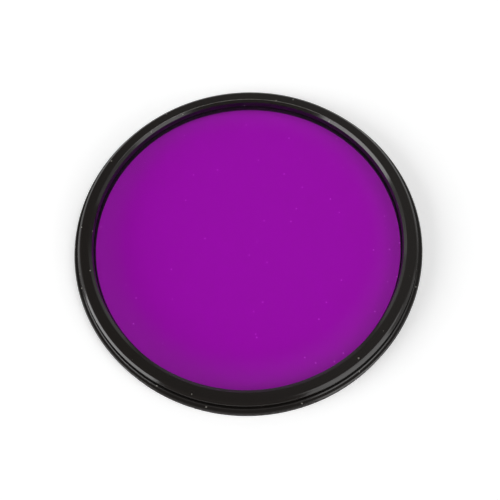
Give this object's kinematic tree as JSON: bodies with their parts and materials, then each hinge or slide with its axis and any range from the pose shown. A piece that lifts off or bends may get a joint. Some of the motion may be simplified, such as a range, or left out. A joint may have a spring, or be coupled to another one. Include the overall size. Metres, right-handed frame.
{
  "type": "screw in lens filter",
  "caption": "Slim screw-in lens filter: a black threaded ring with a coloured glass disc held by a retaining ring, screwed to the front of a lens.",
  "frame": {"origin": "centre of the front rim, on the surface that the filter lies on", "axes": "+Z along the optical axis, from the front rim to the rear face with the male thread"},
  "size_m": [0.0798, 0.0798, 0.0054],
  "materials": {
    "ring_black": "black anodised, satin",
    "purple_glass": "dyed in the mass, polished",
    "retainer_black": "black anodised, matt"
  },
  "bodies": {
    "root": {"filter_ring": "ring_black", "filter_glass": "purple_glass", "retaining_ring": "retainer_black"}
  },
  "joints": []
}
